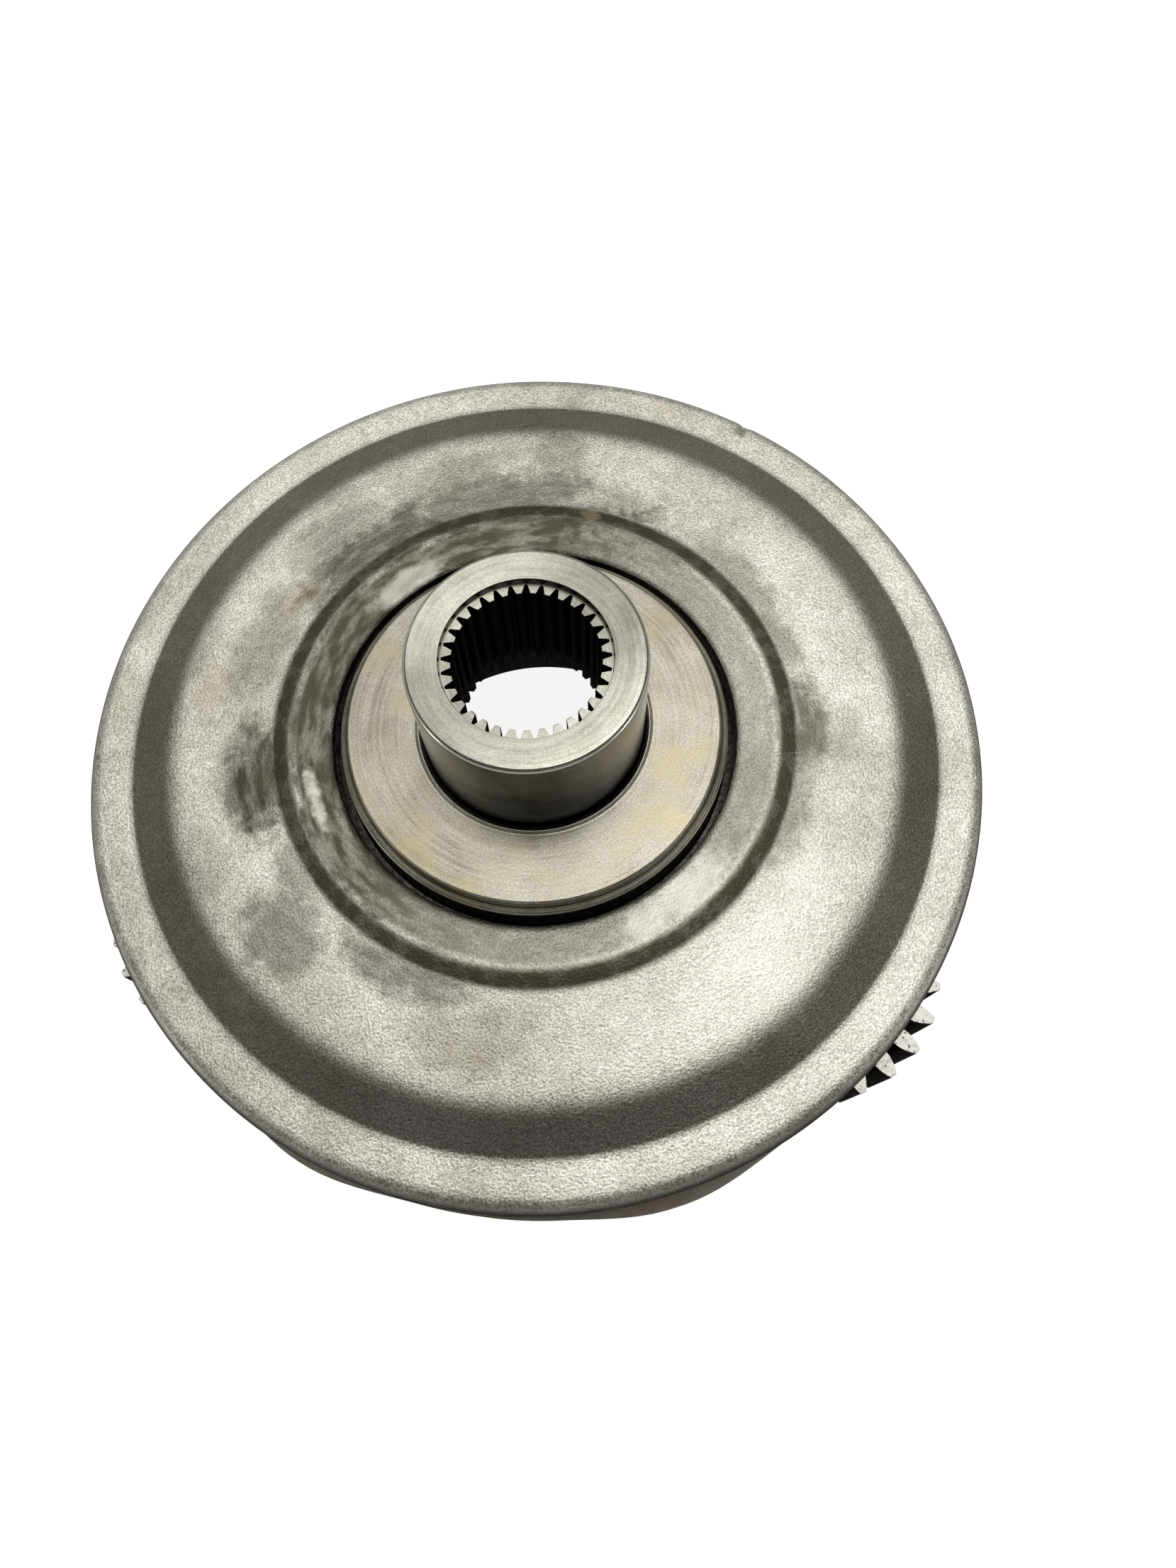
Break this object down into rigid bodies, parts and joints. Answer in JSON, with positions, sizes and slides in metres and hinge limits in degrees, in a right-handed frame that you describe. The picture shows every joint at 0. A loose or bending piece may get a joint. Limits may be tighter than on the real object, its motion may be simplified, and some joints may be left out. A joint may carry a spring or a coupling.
{
  "type": "planetary gear set",
  "caption": "Planetary gear set: a splined hub and sun gear turning spur planet gears in a round carrier, closed at the front by a stepped pressed-steel cover.",
  "frame": {"origin": "on the gear axis, in the plane of the carrier's rear face, on which the set stands", "axes": "+Z along the gear axis, out of the splined hub; +X and +Y across it, with one planet gear midway between +X and -Y"},
  "size_m": [0.1645, 0.1646, 0.0842],
  "materials": {
    "cover_steel": "grainy grey pressed steel, rubbed and stained near the hole",
    "hub_steel": "turned and ground steel with fine concentric marks",
    "gear_steel": "case-hardened gear steel, oily between the teeth",
    "carrier_iron": "dark oily iron with machined faces",
    "bearing_steel": "ground bearing steel",
    "bronze": "dull bronze"
  },
  "bodies": {
    "carrier": {"carrier_body": "carrier_iron", "carrier_front_plate": "carrier_iron", "stamped_cover": "cover_steel", "front_thrust_race": "bearing_steel", "rear_thrust_race": "bearing_steel", "pin_lock_ring": "bearing_steel", "planet_pin_1": "bearing_steel", "planet_pin_2": "bearing_steel", "planet_pin_3": "bearing_steel", "front_washer_1": "bronze", "front_washer_2": "bronze", "front_washer_3": "bronze", "rear_washer_1": "bronze", "rear_washer_2": "bronze", "rear_washer_3": "bronze"},
    "sun": {"sun_gear": "hub_steel"},
    "planet_1": {"planet_gear_1": "gear_steel"},
    "needles_1": {"needle_bearing_1": "bearing_steel"},
    "planet_2": {"planet_gear_2": "gear_steel"},
    "needles_2": {"needle_bearing_2": "bearing_steel"},
    "planet_3": {"planet_gear_3": "gear_steel"},
    "needles_3": {"needle_bearing_3": "bearing_steel"},
    "front_thrust_cage": {"front_thrust_bearing": "bearing_steel"},
    "rear_thrust_cage": {"rear_thrust_bearing": "bearing_steel"}
  },
  "joints": [
    {"name": "sun_spin", "type": "hinge", "parent": "carrier", "child": "sun", "pos_m": [0, 0, 0.05], "axis": [0, 0, 1], "continuous": true},
    {"name": "planet_1_spin", "type": "hinge", "parent": "carrier", "child": "planet_1", "pos_m": [0.04387, -0.04387, 0.02], "axis": [0, 0, 1], "continuous": true},
    {"name": "needles_1_spin", "type": "hinge", "parent": "carrier", "child": "needles_1", "pos_m": [0.04387, -0.04387, 0.02], "axis": [0, 0, 1], "continuous": true},
    {"name": "planet_2_spin", "type": "hinge", "parent": "carrier", "child": "planet_2", "pos_m": [0.01606, 0.05993, 0.02], "axis": [0, 0, 1], "continuous": true},
    {"name": "needles_2_spin", "type": "hinge", "parent": "carrier", "child": "needles_2", "pos_m": [0.01606, 0.05993, 0.02], "axis": [0, 0, 1], "continuous": true},
    {"name": "planet_3_spin", "type": "hinge", "parent": "carrier", "child": "planet_3", "pos_m": [-0.05993, -0.01606, 0.02], "axis": [0, 0, 1], "continuous": true},
    {"name": "needles_3_spin", "type": "hinge", "parent": "carrier", "child": "needles_3", "pos_m": [-0.05993, -0.01606, 0.02], "axis": [0, 0, 1], "continuous": true},
    {"name": "front_thrust_spin", "type": "hinge", "parent": "carrier", "child": "front_thrust_cage", "pos_m": [0, 0, 0.05], "axis": [0, 0, 1], "continuous": true},
    {"name": "rear_thrust_spin", "type": "hinge", "parent": "carrier", "child": "rear_thrust_cage", "pos_m": [0, 0, 0.05], "axis": [0, 0, 1], "continuous": true}
  ],
  "couplings": [
    {"joint": "planet_1_spin", "follows": "sun_spin", "ratio": -1.8696},
    {"joint": "needles_1_spin", "follows": "sun_spin", "ratio": -1.079},
    {"joint": "planet_2_spin", "follows": "sun_spin", "ratio": -1.8696},
    {"joint": "needles_2_spin", "follows": "sun_spin", "ratio": -1.079},
    {"joint": "planet_3_spin", "follows": "sun_spin", "ratio": -1.8696},
    {"joint": "needles_3_spin", "follows": "sun_spin", "ratio": -1.079},
    {"joint": "front_thrust_spin", "follows": "sun_spin", "ratio": 0.5},
    {"joint": "rear_thrust_spin", "follows": "sun_spin", "ratio": 0.5}
  ]
}
